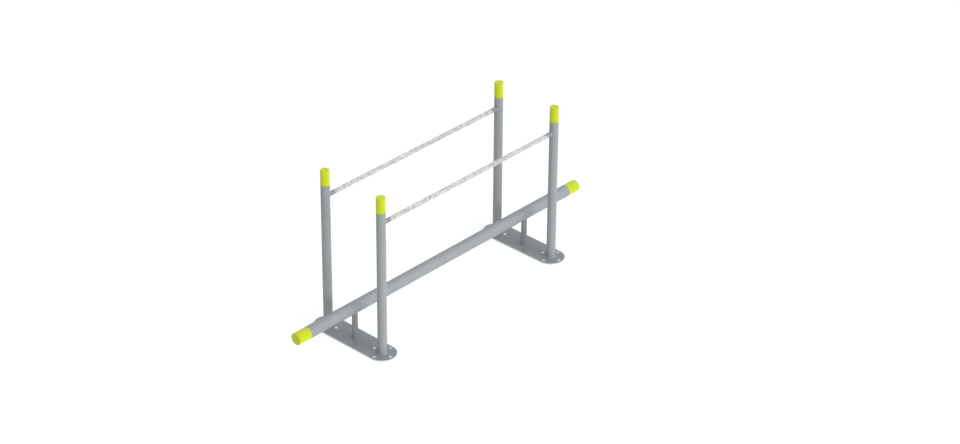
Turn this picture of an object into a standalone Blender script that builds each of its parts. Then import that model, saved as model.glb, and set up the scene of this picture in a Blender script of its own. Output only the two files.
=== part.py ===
"""Balance beam with handrails.

A round steel beam rests on two short legs, each standing on a stadium-shaped base plate. Four posts
on the same plates carry two handrails, one on each side of the beam. Metres, +Z up. The origin is on
the ground below the middle of the beam, which runs along X. Left is -X, right is +X, front is -Y and
rear is +Y.
"""

import math

import bmesh
import bpy
from mathutils import Matrix, Vector

# Gap kept between pieces that touch
GAP = 0.0003

# Points nearer than this are one point
MERGE_DISTANCE = 1e-6

# Base plates
PLATE_THICKNESS = 0.010
PLATE_END_RADIUS = 0.1175
PLATE_SPACING = 2.000
PLATE_EDGE_CHAMFER = 0.001

# Posts, round tube 76.1 x 3
POST_RADIUS = 0.03805
POST_WALL = 0.003
POST_SPACING = 0.610
POST_TOP = 1.302

# Beam, round tube 101.6 x 4
BEAM_RADIUS = 0.0508
BEAM_WALL = 0.004
BEAM_AXIS_HEIGHT = 0.302
BEAM_TUBE_LENGTH = 3.040

# Beam legs, round tube 48.3 x 3.2
LEG_RADIUS = 0.02415
LEG_WALL = 0.0032

# Handrails, round tube 38 x 2.5, on sockets of the same outside diameter
RAIL_RADIUS = 0.019
RAIL_WALL = 0.0025
RAIL_AXIS_HEIGHT = 1.195
SOCKET_REACH = 0.095
SPIGOT_LENGTH = 0.045
SPIGOT_CLEARANCE = 0.0003
SOCKET_BORE_RADIUS = 0.013

# Moulded caps, one shape for both tube sizes
POST_CAP_LENGTH = 0.130
BEAM_CAP_LENGTH = 0.125
CAP_WALL = 0.005
CAP_CORNER_RADIUS = 0.004
CAP_PLUG_LENGTH = 0.050
CAP_PLUG_CLEARANCE = 0.0016
CAP_RIB_HEIGHT = 0.0013
CAP_RIB_WIDTH = 0.004
CAP_RIB_PITCH = 0.016
CAP_RIB_COUNT = 2

# Anchor bolts, M12, with heads sunk flush into the plate on a cone of 90 degrees
BOLT_CIRCLE_RADIUS = 0.090
BOLT_HOLE_RADIUS = 0.007
BOLT_SHANK_RADIUS = 0.006
BOLT_HEAD_RADIUS = 0.012
BOLT_HEAD_LAND = 0.0005
BOLT_KEY_SIDES = 6
BOLT_KEY_ACROSS_FLATS = 0.008
BOLT_KEY_DEPTH = 0.0045
BOLTS_PER_POST = 4

# Grub screws, M6, through the underside of each rail end
SCREW_RADIUS = 0.003
SCREW_SEAT_CLEARANCE = 0.0003
SCREW_LENGTH = 0.0056
SCREW_RECESS = 0.0005
SCREW_SOCKET_RADIUS = 0.0017
SCREW_SOCKET_DEPTH = 0.0028

# Facets round each kind of circle
FACETS_BEAM = 40
FACETS_POST = 32
FACETS_LEG = 24
FACETS_RAIL = 24
FACETS_PLATE_END = 24
FACETS_BOLT = 24
FACETS_SCREW = 12
FACETS_CAP_CORNER = 2

SMOOTH_ANGLE = math.radians(35)

SIDES = {"left": -1, "right": 1}
ROWS = {"front": -1, "rear": 1}


# Scene and materials

def clear_scene():
    """Removes whatever the file opens with."""
    for obj in list(bpy.data.objects):
        bpy.data.objects.remove(obj, do_unlink=True)


def linear(value):
    """A display colour channel, 0 to 255, as scene-linear light."""
    part = value / 255
    if part <= 0.04045:
        return part / 12.92
    return ((part + 0.055) / 1.055) ** 2.4


def make_material(name, display_rgb, metallic, roughness):
    """A plain finish: colour as seen on a screen, metal share and roughness."""
    material = bpy.data.materials.new(name)
    material.use_nodes = True
    shader = material.node_tree.nodes["Principled BSDF"]
    colour = [linear(channel) for channel in display_rgb] + [1.0]
    shader.inputs["Base Color"].default_value = colour
    shader.inputs["Metallic"].default_value = metallic
    shader.inputs["Roughness"].default_value = roughness
    material.diffuse_color = colour
    return material


def make_materials():
    """The four finishes of the apparatus."""
    return {
        "paint": make_material("grey_paint", (160, 166, 170), 0.0, 0.45),
        "lime": make_material("lime_plastic", (196, 214, 40), 0.0, 0.5),
        "galvanised": make_material("galvanised_steel", (205, 207, 208), 0.7, 0.4),
        "zinc": make_material("zinc_plated_steel", (200, 203, 206), 0.8, 0.35),
    }


# Meshes, each one closed body in its own frame

def finish_mesh(bm, name):
    """Turns a bmesh into a mesh with smooth round faces and sharp edges."""
    bmesh.ops.remove_doubles(bm, verts=bm.verts, dist=MERGE_DISTANCE)
    bmesh.ops.recalc_face_normals(bm, faces=bm.faces)
    mesh = bpy.data.meshes.new(name)
    bm.to_mesh(mesh)
    bm.free()
    mesh.shade_smooth()
    mesh.set_sharp_from_angle(angle=SMOOTH_ANGLE)
    return mesh


def turned_mesh(name, profile, facets, closed, spots=((0.0, 0.0),)):
    """Turns a profile of (radius, height) points round an upright axis at each (x, y) spot.

    A closed profile joins its last point to its first, as a tube's does. An open one starts and
    ends on the axis.
    """
    bm = bmesh.new()
    for x, y in spots:
        verts = [bm.verts.new((x + radius, y, height)) for radius, height in profile]
        edges = [bm.edges.new(pair) for pair in zip(verts, verts[1:])]
        if closed:
            edges.append(bm.edges.new((verts[-1], verts[0])))
        bmesh.ops.spin(
            bm,
            geom=verts + edges,
            cent=(x, y, 0),
            axis=(0, 0, 1),
            angle=math.tau,
            steps=facets,
            use_merge=True,
        )
    return finish_mesh(bm, name)


def tube_mesh(name, outer, inner, bottom, top, facets):
    """A plain tube along Z, open at both ends."""
    profile = [(outer, top), (outer, bottom), (inner, bottom), (inner, top)]
    return turned_mesh(name, profile, facets, closed=True)


def prism_mesh(name, outline, bottom, top, chamfer=0.0):
    """A flat outline drawn up from bottom to top, with its upper rim bevelled by chamfer."""
    bm = bmesh.new()
    face = bm.faces.new([bm.verts.new((x, y, bottom)) for x, y in outline])
    drawn = bmesh.ops.extrude_face_region(bm, geom=[face])["geom"]
    upper = [item for item in drawn if isinstance(item, bmesh.types.BMVert)]
    bmesh.ops.translate(bm, verts=upper, vec=(0, 0, top - bottom))
    if chamfer:
        rim = [edge for edge in bm.edges if all(vert in upper for vert in edge.verts)]
        bmesh.ops.bevel(bm, geom=rim, offset=chamfer, segments=1, affect="EDGES")
    return finish_mesh(bm, name)


def circle(radius, facets, centre=(0.0, 0.0)):
    """Points of a regular polygon round a centre."""
    return [
        (
            centre[0] + radius * math.cos(math.tau * step / facets),
            centre[1] + radius * math.sin(math.tau * step / facets),
        )
        for step in range(facets)
    ]


def stadium(radius, half_spacing, facets):
    """An outline with two straight sides along Y and a half circle at each end."""
    points = []
    for end in (1, -1):
        for step in range(facets + 1):
            angle = math.pi * step / facets + (0 if end > 0 else math.pi)
            points.append((radius * math.cos(angle), end * half_spacing + radius * math.sin(angle)))
    return points


def cap_mesh(name, tube_radius, tube_wall, length, facets):
    """A hood as wide as its tube, with a hollow ribbed plug below that pushes into the tube.

    Its lower rim sits at height 0 and its closed end at the given length.
    """
    plug = tube_radius - tube_wall - CAP_PLUG_CLEARANCE
    rib = plug + CAP_RIB_HEIGHT
    bore = plug - CAP_WALL
    corner = tube_radius - CAP_CORNER_RADIUS
    profile = [(0, length), (corner, length)]
    for step in range(1, FACETS_CAP_CORNER + 1):
        angle = math.pi / 2 * (1 - step / FACETS_CAP_CORNER)
        profile.append(
            (
                corner + CAP_CORNER_RADIUS * math.cos(angle),
                length - CAP_CORNER_RADIUS + CAP_CORNER_RADIUS * math.sin(angle),
            )
        )
    profile += [(tube_radius, GAP), (plug, GAP)]
    for number in range(1, CAP_RIB_COUNT + 1):
        middle = -CAP_RIB_PITCH * number
        profile += [
            (plug, middle + CAP_RIB_WIDTH / 2),
            (rib, middle),
            (plug, middle - CAP_RIB_WIDTH / 2),
        ]
    profile += [
        (plug, -CAP_PLUG_LENGTH),
        (bore, -CAP_PLUG_LENGTH),
        (bore, length - CAP_WALL),
        (0, length - CAP_WALL),
    ]
    return turned_mesh(name, profile, facets, closed=False)


def socket_mesh(name):
    """The collar and spigot of a rail end, along Z from the post's axis outwards."""
    spigot = RAIL_RADIUS - RAIL_WALL - SPIGOT_CLEARANCE
    tip = SOCKET_REACH + SPIGOT_LENGTH
    profile = [
        (spigot, tip),
        (spigot, SOCKET_REACH),
        (RAIL_RADIUS, SOCKET_REACH),
        (RAIL_RADIUS, 0),
        (SOCKET_BORE_RADIUS, 0),
        (SOCKET_BORE_RADIUS, tip),
    ]
    return turned_mesh(name, profile, FACETS_RAIL, closed=True)


def ring(bm, radius, height, facets):
    """The points of a level regular polygon round Z."""
    return [bm.verts.new((x, y, height)) for x, y in circle(radius, facets)]


def join_rings(bm, lower, upper):
    """Quads between two rings of as many points."""
    for here in range(len(lower)):
        after = (here + 1) % len(lower)
        bm.faces.new((lower[here], lower[after], upper[after], upper[here]))


def bolt_mesh(name):
    """A countersunk bolt along Z, with its flat top at height 0 and a hexagonal key hole in it."""
    key_radius = BOLT_KEY_ACROSS_FLATS / 2 / math.cos(math.pi / BOLT_KEY_SIDES)
    cone_height = BOLT_HEAD_RADIUS - BOLT_SHANK_RADIUS
    bm = bmesh.new()
    key_floor = ring(bm, key_radius, -BOLT_KEY_DEPTH, BOLT_KEY_SIDES)
    key_mouth = ring(bm, key_radius, 0, BOLT_KEY_SIDES)
    rim = ring(bm, BOLT_HEAD_RADIUS, 0, FACETS_BOLT)
    land = ring(bm, BOLT_HEAD_RADIUS, -BOLT_HEAD_LAND, FACETS_BOLT)
    neck = ring(bm, BOLT_SHANK_RADIUS, -BOLT_HEAD_LAND - cone_height, FACETS_BOLT)
    foot = ring(bm, BOLT_SHANK_RADIUS, GAP - PLATE_THICKNESS, FACETS_BOLT)
    for lower, upper in ((key_floor, key_mouth), (land, rim), (neck, land), (foot, neck)):
        join_rings(bm, lower, upper)
    bm.faces.new(key_floor)
    bm.faces.new(foot)
    per_side = FACETS_BOLT // BOLT_KEY_SIDES
    for side in range(BOLT_KEY_SIDES):
        after = (side + 1) % BOLT_KEY_SIDES
        arc = [rim[(side * per_side + step) % FACETS_BOLT] for step in range(per_side + 1)]
        bm.faces.new([key_mouth[side], key_mouth[after], *reversed(arc)])
    return finish_mesh(bm, name)


def bolt_seat_mesh(name, spots):
    """The space that each bolt leaves in its plate: a round hole that widens into the head's cone."""
    mouth_radius = BOLT_HEAD_RADIUS + GAP * math.sqrt(2)
    cone_top = PLATE_THICKNESS - BOLT_HEAD_LAND
    cone_bottom = cone_top - (mouth_radius - BOLT_HOLE_RADIUS)
    margin = PLATE_THICKNESS
    profile = [
        (0, PLATE_THICKNESS + margin),
        (mouth_radius, PLATE_THICKNESS + margin),
        (mouth_radius, cone_top),
        (BOLT_HOLE_RADIUS, cone_bottom),
        (BOLT_HOLE_RADIUS, -margin),
        (0, -margin),
    ]
    return turned_mesh(name, profile, FACETS_BOLT, closed=False, spots=spots)


def screw_mesh(name):
    """A grub screw along Z with its driven end at height 0 and its tip above."""
    profile = [
        (0, SCREW_LENGTH),
        (SCREW_RADIUS, SCREW_LENGTH),
        (SCREW_RADIUS, 0),
        (SCREW_SOCKET_RADIUS, 0),
        (SCREW_SOCKET_RADIUS, SCREW_SOCKET_DEPTH),
        (0, SCREW_SOCKET_DEPTH),
    ]
    return turned_mesh(name, profile, FACETS_SCREW, closed=False)


# Objects

def place(name, mesh, material, parent, location=(0, 0, 0), rotation=(0, 0, 0)):
    """Puts a mesh in the scene under its parent, in its finish."""
    obj = bpy.data.objects.new(name, mesh)
    bpy.context.scene.collection.objects.link(obj)
    if not mesh.materials:
        mesh.materials.append(material)
    obj.parent = parent
    obj.location = location
    obj.rotation_euler = rotation
    return obj


def make_empty(name, parent=None, location=(0, 0, 0)):
    """An empty that carries the pieces of one sub-assembly."""
    empty = bpy.data.objects.new(name, None)
    bpy.context.scene.collection.objects.link(empty)
    empty.parent = parent
    empty.location = location
    return empty


def link_cutter(name, mesh):
    """A hidden helper that other pieces are cut with."""
    cutter = bpy.data.objects.new(name, mesh)
    bpy.context.scene.collection.objects.link(cutter)
    cutter.hide_render = True
    cutter.display_type = "WIRE"
    return cutter


def make_cutter(name, rods):
    """A cutter made of solid rods, each (start, end, radius, facets), none touching."""
    bm = bmesh.new()
    for start, end, radius, facets in rods:
        run = Vector(end) - Vector(start)
        turn = run.to_track_quat("Z", "Y").to_matrix().to_4x4()
        middle = (Vector(start) + Vector(end)) / 2
        bmesh.ops.create_cone(
            bm,
            cap_ends=True,
            segments=facets,
            radius1=radius,
            radius2=radius,
            depth=run.length,
            matrix=Matrix.Translation(middle) @ turn,
        )
    mesh = bpy.data.meshes.new(name)
    bm.to_mesh(mesh)
    bm.free()
    return link_cutter(name, mesh)


def cut(obj, cutter):
    """Takes the cutter's space out of a piece."""
    boolean = obj.modifiers.new("cut_" + cutter.name, "BOOLEAN")
    boolean.operation = "DIFFERENCE"
    boolean.solver = "EXACT"
    boolean.object = cutter


def bolt_spots(row):
    """Where the bolts stand round one post, in the plate's frame."""
    return circle(BOLT_CIRCLE_RADIUS, BOLTS_PER_POST, (0.0, row * POST_SPACING / 2))


def build_plate(side, frame, materials):
    """A base plate with a ring of countersunk bolt holes at each end."""
    outline = stadium(PLATE_END_RADIUS, POST_SPACING / 2, FACETS_PLATE_END)
    mesh = prism_mesh("base_plate", outline, 0, PLATE_THICKNESS, PLATE_EDGE_CHAMFER)
    plate = place(f"base_plate_{side}", mesh, materials["paint"], frame)
    centre = SIDES[side] * PLATE_SPACING / 2
    spots = [(centre + x, y) for row in ROWS.values() for x, y in bolt_spots(row)]
    cutter_name = f"bolt_seats_{side}"
    cut(plate, link_cutter(cutter_name, bolt_seat_mesh(cutter_name, spots)))


def build_leg(side, frame, materials):
    """A short tube from the plate up to the beam, coped to the beam's round underside."""
    bottom = PLATE_THICKNESS + GAP
    mesh = tube_mesh(
        "beam_leg", LEG_RADIUS, LEG_RADIUS - LEG_WALL, bottom, BEAM_AXIS_HEIGHT, FACETS_LEG
    )
    leg = place(f"beam_leg_{side}", mesh, materials["paint"], frame)
    centre = SIDES[side] * PLATE_SPACING / 2
    rod = (
        (centre - BEAM_RADIUS, 0, BEAM_AXIS_HEIGHT),
        (centre + BEAM_RADIUS, 0, BEAM_AXIS_HEIGHT),
        BEAM_RADIUS + GAP,
        FACETS_BEAM,
    )
    cut(leg, make_cutter(f"beam_saddle_{side}", [rod]))


def build_socket(side, row, shared, frame, materials):
    """A rail socket that stands out of its post towards the middle, and the screw below it."""
    y = ROWS[row] * POST_SPACING / 2
    inwards = -SIDES[side]
    post_x = SIDES[side] * PLATE_SPACING / 2
    along_x = (0, inwards * math.pi / 2, 0)
    socket = place(
        f"rail_socket_{side}_{row}",
        shared["socket"],
        materials["paint"],
        frame,
        (0, y, RAIL_AXIS_HEIGHT),
        along_x,
    )
    half_height = 2 * RAIL_RADIUS
    post_rod = (
        (post_x, y, RAIL_AXIS_HEIGHT - half_height),
        (post_x, y, RAIL_AXIS_HEIGHT + half_height),
        POST_RADIUS + GAP,
        FACETS_POST,
    )
    screw_x = inwards * (SOCKET_REACH + SPIGOT_LENGTH / 2)
    seat_rod = (
        (post_x + screw_x, y, RAIL_AXIS_HEIGHT - half_height),
        (post_x + screw_x, y, RAIL_AXIS_HEIGHT),
        SCREW_RADIUS + SCREW_SEAT_CLEARANCE,
        FACETS_SCREW,
    )
    cut(socket, make_cutter(f"socket_cuts_{side}_{row}", [post_rod, seat_rod]))
    place(
        f"rail_screw_{side}_{row}",
        shared["screw"],
        materials["zinc"],
        frame,
        (screw_x, y, RAIL_AXIS_HEIGHT - RAIL_RADIUS + SCREW_RECESS),
    )
    return seat_rod


def build_anchors(side, row, shared, frame, materials):
    """The bolts round one post foot, their heads flush with the plate's top."""
    for number, (x, y) in enumerate(bolt_spots(ROWS[row]), start=1):
        place(
            f"anchor_bolt_{side}_{row}_{number}",
            shared["bolt"],
            materials["zinc"],
            frame,
            (x, y, PLATE_THICKNESS),
        )


def build_end_frame(side, shared, root, materials):
    """One base plate with its leg, two posts and everything that they carry.

    Returns the rods of the screw seats, one for each row, which also pass through the rails.
    """
    frame = make_empty(f"{side}_frame", root, (SIDES[side] * PLATE_SPACING / 2, 0, 0))
    build_plate(side, frame, materials)
    build_leg(side, frame, materials)
    seats = {}
    for row, sign in ROWS.items():
        y = sign * POST_SPACING / 2
        place(f"post_{side}_{row}", shared["post"], materials["paint"], frame, (0, y, 0))
        place(f"post_cap_{side}_{row}", shared["post_cap"], materials["lime"], frame, (0, y, POST_TOP))
        seats[row] = build_socket(side, row, shared, frame, materials)
        build_anchors(side, row, shared, frame, materials)
    return seats


def build_beam(shared, root, materials):
    """The walking tube and the caps in its two ends."""
    carrier = make_empty("beam", root, (0, 0, BEAM_AXIS_HEIGHT))
    half = BEAM_TUBE_LENGTH / 2
    mesh = tube_mesh("beam_tube", BEAM_RADIUS, BEAM_RADIUS - BEAM_WALL, -half, half, FACETS_BEAM)
    place("beam_tube", mesh, materials["paint"], carrier, rotation=(0, math.pi / 2, 0))
    for side, sign in SIDES.items():
        place(
            f"beam_cap_{side}",
            shared["beam_cap"],
            materials["lime"],
            carrier,
            (sign * half, 0, 0),
            (0, sign * math.pi / 2, 0),
        )


def build_rails(seats, root, materials):
    """The two handrails, each drilled from below for its two screws."""
    half = PLATE_SPACING / 2 - SOCKET_REACH - GAP
    mesh = tube_mesh("handrail", RAIL_RADIUS, RAIL_RADIUS - RAIL_WALL, -half, half, FACETS_RAIL)
    for row, sign in ROWS.items():
        rail = place(
            f"handrail_{row}",
            mesh,
            materials["galvanised"],
            root,
            (0, sign * POST_SPACING / 2, RAIL_AXIS_HEIGHT),
            (0, math.pi / 2, 0),
        )
        cut(rail, make_cutter(f"rail_holes_{row}", [seats[side][row] for side in SIDES]))


def shared_meshes():
    """The meshes of the pieces that are alike."""
    return {
        "post": tube_mesh(
            "post", POST_RADIUS, POST_RADIUS - POST_WALL, PLATE_THICKNESS + GAP, POST_TOP, FACETS_POST
        ),
        "post_cap": cap_mesh("post_cap", POST_RADIUS, POST_WALL, POST_CAP_LENGTH, FACETS_POST),
        "beam_cap": cap_mesh("beam_cap", BEAM_RADIUS, BEAM_WALL, BEAM_CAP_LENGTH, FACETS_BEAM),
        "socket": socket_mesh("rail_socket"),
        "screw": screw_mesh("rail_screw"),
        "bolt": bolt_mesh("anchor_bolt"),
    }


def main():
    """Builds the whole apparatus."""
    clear_scene()
    materials = make_materials()
    shared = shared_meshes()
    root = make_empty("balance_beam_with_handrails")
    seats = {side: build_end_frame(side, shared, root, materials) for side in SIDES}
    build_beam(shared, root, materials)
    build_rails(seats, root, materials)


main()
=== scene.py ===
"""The finished look of a balance beam with handrails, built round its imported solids.

Metres, +Z up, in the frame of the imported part: the beam runs along X, left is -X, right is +X, front
is -Y and rear is +Y. Each visible piece is a fine surface worked out with numpy that stands for one
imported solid. Weld beads are added where tubes meet. Every finish is made of shader nodes.
"""

from __future__ import annotations

import logging
import math
from abc import ABC, abstractmethod
from dataclasses import dataclass, field
from enum import Enum
from typing import Iterator, Sequence

import bmesh
import bpy
import numpy as np
import numpy.typing as npt
from mathutils import Matrix, Vector


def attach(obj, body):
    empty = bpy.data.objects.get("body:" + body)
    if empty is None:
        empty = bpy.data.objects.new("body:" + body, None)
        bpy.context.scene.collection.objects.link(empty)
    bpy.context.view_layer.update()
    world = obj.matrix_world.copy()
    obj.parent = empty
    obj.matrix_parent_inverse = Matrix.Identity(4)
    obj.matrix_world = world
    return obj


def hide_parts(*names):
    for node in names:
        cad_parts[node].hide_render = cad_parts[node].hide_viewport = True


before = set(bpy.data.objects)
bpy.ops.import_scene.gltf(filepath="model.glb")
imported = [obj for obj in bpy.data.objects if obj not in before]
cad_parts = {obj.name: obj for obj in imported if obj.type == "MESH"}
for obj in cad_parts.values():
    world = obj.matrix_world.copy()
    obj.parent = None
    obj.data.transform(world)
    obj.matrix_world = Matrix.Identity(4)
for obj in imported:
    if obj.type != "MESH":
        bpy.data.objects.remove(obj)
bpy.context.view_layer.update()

LOG = logging.getLogger("balance_beam")
BODY = "root"
EDGE_ATTRIBUTE = "edge"

# How far wear fades out beside a corner: this length, or this share of the room where that is less
WEAR_FADE = 0.004
FADE_SHARE = 0.98

# Lengths below which two points are one, an edge is taken out, and a height counts as level
MERGE_DISTANCE = 2e-6
SLIVER = 1e-7
LEVEL_TOLERANCE = 1e-6

# Keeps a division off zero where two corners fall together
NOT_ZERO = 1e-12

# The turn between two faces from which the edge between them is shown sharp
SHARP_ANGLE = math.radians(32)

NOISE_ROUGHNESS = 0.55
WHITE = (1.0, 1.0, 1.0, 1.0)

# Where the Mix node has its two colours and their blend, among its sockets for other kinds of value
MIX_COLOUR_INPUTS = (6, 7)
MIX_COLOUR_OUTPUT = 2

Array = npt.NDArray[np.float64]
Socket = bpy.types.NodeSocket
Colour = tuple[float, float, float]
Point = tuple[float, float, float]
Span = tuple[float, float]

UNIT: Span = (0.0, 1.0)


# Options


class Option(Enum):
    """A choice whose name goes into piece names."""

    @property
    def word(self) -> str:
        """The option's name inside piece names."""
        return self.name.lower()


class Side(Option):
    """The two ends of the apparatus, valued by the sign of X."""

    LEFT = -1
    RIGHT = 1


class Row(Option):
    """The two rows of posts, valued by the sign of Y."""

    FRONT = -1
    REAR = 1


class Slot(Enum):
    """Names of material slots."""

    PAINT = "grey_paint"
    LIME = "lime_plastic"
    GALVANISED = "galvanised_steel"
    ZINC = "zinc"


# Sizes shared by several sub-assemblies


@dataclass(frozen=True)
class Layout:
    """Where the main lines of the apparatus run, and the sizes at which its parts meet."""

    gap: float = 0.0003
    plate_thickness: float = 0.010
    plate_spacing: float = 2.000
    post_spacing: float = 0.610
    post_radius: float = 0.03805
    post_wall: float = 0.003
    post_top: float = 1.302
    beam_radius: float = 0.0508
    beam_wall: float = 0.004
    beam_height: float = 0.302
    rail_radius: float = 0.019
    rail_wall: float = 0.0025
    rail_height: float = 1.195
    socket_reach: float = 0.095
    spigot_length: float = 0.045
    bolt_circle: float = 0.090
    bolts_per_post: int = 4
    bolt_head_radius: float = 0.012
    bolt_head_land: float = 0.0005

    def post_spot(self, side: Side, row: Row) -> tuple[float, float]:
        """The ground point of one post's axis."""
        return side.value * self.plate_spacing / 2, row.value * self.post_spacing / 2

    def bolt_spots(self, side: Side, row: Row) -> list[tuple[float, float]]:
        """The ground points of the bolts round one post.

        Args:
            side: The post's side.
            row: The post's row.

        Returns:
            One point for each bolt, evenly spaced on their circle.
        """
        x, y = self.post_spot(side, row)
        turns = (math.tau * number / self.bolts_per_post for number in range(self.bolts_per_post))
        return [(x + self.bolt_circle * math.cos(a), y + self.bolt_circle * math.sin(a)) for a in turns]


# Surfaces


@dataclass(frozen=True)
class Place:
    """A turn followed by a shift: point' = turn @ point + shift."""

    shift: Point = (0.0, 0.0, 0.0)
    turn: Matrix = field(default_factory=lambda: Matrix.Identity(3))

    def put(self, points: Array) -> Array:
        """The points, turned and then shifted."""
        return points @ np.array(self.turn).T + np.array(self.shift)


def along_x(sign: int) -> Matrix:
    """A turn that lays +Z along X with the given sign, and +X up along +Z."""
    return Matrix(((0, 0, sign), (0, -sign, 0), (1, 0, 0)))


@dataclass(frozen=True)
class Patch:
    """A grid of points that becomes quads.

    Row i, column j of points is one point of the surface. A wrapped direction joins its last row or
    column to its first. Wear says for each row how near it is to an exposed edge, 0 to 1.
    """

    points: Array
    wrap_rows: bool = False
    wrap_columns: bool = True
    wear: float | Array = 0.0

    def point_wear(self) -> Array:
        """The wear of each point, in the order of the points."""
        rows, columns = self.points.shape[:2]
        return np.repeat(np.broadcast_to(self.wear, rows), columns)

    def faces(self, offset: int) -> npt.NDArray[np.int32]:
        """Quads between neighbouring rows and columns.

        Each quad joins (i, j), (i, j+1), (i+1, j+1) and (i+1, j), with indices taken modulo the grid
        where it wraps.

        Args:
            offset: The number of points that come before this patch in the mesh.

        Returns:
            One row of four point indices for each quad.
        """
        rows, columns = self.points.shape[:2]
        row_starts = np.arange(rows if self.wrap_rows else rows - 1)
        column_starts = np.arange(columns if self.wrap_columns else columns - 1)
        i, j = np.meshgrid(row_starts, column_starts, indexing="ij")
        below, beside = (i + 1) % rows, (j + 1) % columns
        corners = (i * columns + j, i * columns + beside, below * columns + beside, below * columns + j)
        return (np.stack(corners, axis=-1).reshape(-1, 4) + offset).astype(np.int32)

    def moved(self, place: Place) -> Patch:
        """The same patch, put in its place in the world."""
        return Patch(place.put(self.points), self.wrap_rows, self.wrap_columns, self.wear)


def around(segments: int) -> Array:
    """Angles evenly spaced over one turn, from 0."""
    return np.linspace(0, math.tau, segments, endpoint=False)


def polar(radius: float | Array, height: float | Array, angles: Array) -> Array:
    """Points (r cos a, r sin a, h), with radii r, heights h and angles a spread over one grid."""
    grid = np.broadcast_arrays(radius * np.cos(angles), radius * np.sin(angles), height)
    return np.stack(grid, axis=-1)


@dataclass(frozen=True)
class Profile:
    """A line of (radius, height) points that a surface is carried along, with the wear of each."""

    points: Array
    wear: Array
    closed: bool

    @classmethod
    def rounded(cls, corners: Sequence[Point], steps: int = 4, closed: bool = False) -> Profile:
        """A profile with soft, worn corners.

        Each corner (radius, height, rounding) is replaced by the parabola that touches both of its
        sides at the rounding's distance: (1-s)^2 A + 2 s (1-s) C + s^2 B, for s from 0 to 1. Wear is 1
        on a parabola and fades to 0 a few millimetres along each side.

        Args:
            corners: The corners in order. The ends of an open profile are kept as they are.
            steps: The number of pieces in each parabola.
            closed: Whether the last corner joins the first.

        Returns:
            The profile.
        """
        table = np.array(corners, dtype=float)
        spots, reach = table[:, :2], table[:, 2].copy()
        if not closed:
            reach[[0, -1]] = 0.0
        soft = reach > 0
        touches, fades = [], []
        for neighbour in (1, -1):
            toward = np.roll(spots, neighbour, axis=0) - spots
            length = np.linalg.norm(toward, axis=1)
            toward /= np.maximum(length, NOT_ZERO)[:, None]
            room = (length - reach - np.roll(reach, neighbour)) / 2
            fade = np.where(soft, reach + np.clip(room * FADE_SHARE, 0, WEAR_FADE), 0.0)
            touches.append((spots + toward * reach[:, None])[:, None])
            fades.append((spots + toward * fade[:, None])[:, None])
        s = np.linspace(0, 1, steps + 1)[None, :, None]
        arcs = (1 - s) ** 2 * touches[0] + 2 * s * (1 - s) * spots[:, None] + s**2 * touches[1]
        points = np.concatenate((fades[0], arcs, fades[1]), axis=1)
        wear = np.zeros(points.shape[:2])
        wear[:, 1:-1] = soft[:, None]
        points, wear = points.reshape(-1, 2), wear.ravel()
        fresh = np.ones(len(points), dtype=bool)
        fresh[1:] = np.linalg.norm(np.diff(points, axis=0), axis=1) > SLIVER
        return cls(points[fresh], wear[fresh], closed)

    def carried(self, angles: Array) -> Array:
        """The points that the profile passes at each angle round Z."""
        return polar(self.points[:, :1], self.points[:, 1:], angles)

    def lathed(self, segments: int) -> Patch:
        """The surface that the profile sweeps in one turn round Z."""
        return Patch(self.carried(around(segments)), wrap_rows=self.closed, wear=self.wear)


def stacked(rings: Sequence[tuple[float | Array, float | Array]], segments: int) -> Patch:
    """A surface that runs straight from ring to ring round Z.

    Args:
        rings: The radius and height of each ring, as one value or as one for each angle.
        segments: The number of columns.

    Returns:
        The surface.
    """
    radii = np.stack([np.broadcast_to(radius, segments) for radius, _ in rings])
    heights = np.stack([np.broadcast_to(height, segments) for _, height in rings])
    return Patch(polar(radii, heights, around(segments)))


def ring_wall(
    first: tuple[float, float | Array], last: tuple[float, float | Array], segments: int, rows: int = 2
) -> Patch:
    """A wall between two rings round Z whose radius and height run straight from one to the other.

    Args:
        first: The radius of the first ring and its height, as one value or as one for each angle.
        last: The same for the last ring.
        segments: The number of columns.
        rows: The number of rows.

    Returns:
        The wall.
    """
    t = np.linspace(0, 1, rows)[:, None]
    radius, height = ((1 - t) * start + t * end for start, end in zip(first, last))
    return Patch(polar(radius, height, around(segments)))


def hexagon(apothem: float, segments: int) -> Array:
    """A hexagon's radius at each angle: apothem / cos(a mod 60 degrees - 30 degrees)."""
    return apothem / np.cos(around(segments) % (math.pi / 3) - math.pi / 6)


def cope(branch: float, main: float, segments: int) -> Array:
    """How far a branch tube's end is cut back to fit round a main tube.

    A point at angle a on the branch stands branch sin a to the side of the main tube's axis, where
    that tube's surface lies sqrt(main^2 - side^2) from its axis.

    Args:
        branch: The branch's radius.
        main: The main tube's radius.
        segments: The number of angles round the branch.

    Returns:
        The distance from the main tube's axis at each angle.
    """
    return np.sqrt(main**2 - (branch * np.sin(around(segments))) ** 2)


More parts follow.
